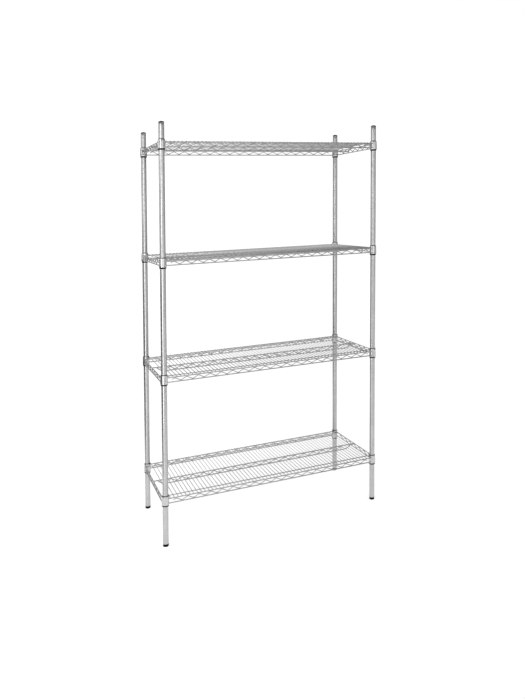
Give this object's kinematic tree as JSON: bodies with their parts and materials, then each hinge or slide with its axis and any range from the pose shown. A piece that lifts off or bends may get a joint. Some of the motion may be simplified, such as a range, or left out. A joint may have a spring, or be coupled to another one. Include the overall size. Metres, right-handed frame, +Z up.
{
  "type": "wire shelving unit",
  "caption": "Free-standing chrome wire shelving unit: round posts carry open wire shelves with zigzag edge trusses on tapered corner collars, above small levelling feet.",
  "frame": {"origin": "on the floor, under the middle of the unit", "axes": "+X along the long front to the right as seen from the front, +Y from the front to the rear, +Z up"},
  "size_m": [1.0636, 0.4536, 1.852],
  "materials": {
    "chrome_plate": "bright plated",
    "black_plastic": "satin moulded",
    "zinc_steel": "zinc plated"
  },
  "bodies": {
    "frame": {"post_front_left": "chrome_plate", "cap_front_left": "black_plastic", "insert_front_left": "zinc_steel", "post_front_right": "chrome_plate", "cap_front_right": "black_plastic", "insert_front_right": "zinc_steel", "post_rear_left": "chrome_plate", "cap_rear_left": "black_plastic", "insert_rear_left": "zinc_steel", "post_rear_right": "chrome_plate", "cap_rear_right": "black_plastic", "insert_rear_right": "zinc_steel", "bottom_shelf_sleeves": "black_plastic", "lower_shelf_sleeves": "black_plastic", "upper_shelf_sleeves": "black_plastic", "top_shelf_sleeves": "black_plastic"},
    "bottom_shelf": {"bottom_shelf_deck_wires": "chrome_plate", "bottom_shelf_support_wires": "chrome_plate", "bottom_shelf_centre_truss": "chrome_plate", "bottom_shelf_front_truss": "chrome_plate", "bottom_shelf_rear_truss": "chrome_plate", "bottom_shelf_left_truss": "chrome_plate", "bottom_shelf_right_truss": "chrome_plate", "bottom_shelf_collars": "chrome_plate"},
    "lower_shelf": {"lower_shelf_deck_wires": "chrome_plate", "lower_shelf_support_wires": "chrome_plate", "lower_shelf_centre_truss": "chrome_plate", "lower_shelf_front_truss": "chrome_plate", "lower_shelf_rear_truss": "chrome_plate", "lower_shelf_left_truss": "chrome_plate", "lower_shelf_right_truss": "chrome_plate", "lower_shelf_collars": "chrome_plate"},
    "upper_shelf": {"upper_shelf_deck_wires": "chrome_plate", "upper_shelf_support_wires": "chrome_plate", "upper_shelf_centre_truss": "chrome_plate", "upper_shelf_front_truss": "chrome_plate", "upper_shelf_rear_truss": "chrome_plate", "upper_shelf_left_truss": "chrome_plate", "upper_shelf_right_truss": "chrome_plate", "upper_shelf_collars": "chrome_plate"},
    "top_shelf": {"top_shelf_deck_wires": "chrome_plate", "top_shelf_support_wires": "chrome_plate", "top_shelf_centre_truss": "chrome_plate", "top_shelf_front_truss": "chrome_plate", "top_shelf_rear_truss": "chrome_plate", "top_shelf_left_truss": "chrome_plate", "top_shelf_right_truss": "chrome_plate", "top_shelf_collars": "chrome_plate"},
    "levelling_foot_front_left": {"stem_front_left": "zinc_steel", "foot_front_left": "black_plastic"},
    "levelling_foot_front_right": {"stem_front_right": "zinc_steel", "foot_front_right": "black_plastic"},
    "levelling_foot_rear_left": {"stem_rear_left": "zinc_steel", "foot_rear_left": "black_plastic"},
    "levelling_foot_rear_right": {"stem_rear_right": "zinc_steel", "foot_rear_right": "black_plastic"}
  },
  "joints": [
    {"name": "bottom_shelf_lift", "type": "slide", "parent": "frame", "child": "bottom_shelf", "axis": [0, 0, 1], "range_m": [0, 0.485]},
    {"name": "lower_shelf_lift", "type": "slide", "parent": "frame", "child": "lower_shelf", "axis": [0, 0, 1], "range_m": [0, 0.46]},
    {"name": "upper_shelf_lift", "type": "slide", "parent": "frame", "child": "upper_shelf", "axis": [0, 0, 1], "range_m": [0, 0.46]},
    {"name": "top_shelf_lift", "type": "slide", "parent": "frame", "child": "top_shelf", "axis": [0, 0, 1], "range_m": [0, 0.116]},
    {"name": "levelling_foot_front_left_adjust", "type": "slide", "parent": "frame", "child": "levelling_foot_front_left", "axis": [0, 0, -1], "range_m": [0, 0.015]},
    {"name": "levelling_foot_front_right_adjust", "type": "slide", "parent": "frame", "child": "levelling_foot_front_right", "axis": [0, 0, -1], "range_m": [0, 0.015]},
    {"name": "levelling_foot_rear_left_adjust", "type": "slide", "parent": "frame", "child": "levelling_foot_rear_left", "axis": [0, 0, -1], "range_m": [0, 0.015]},
    {"name": "levelling_foot_rear_right_adjust", "type": "slide", "parent": "frame", "child": "levelling_foot_rear_right", "axis": [0, 0, -1], "range_m": [0, 0.015]}
  ]
}
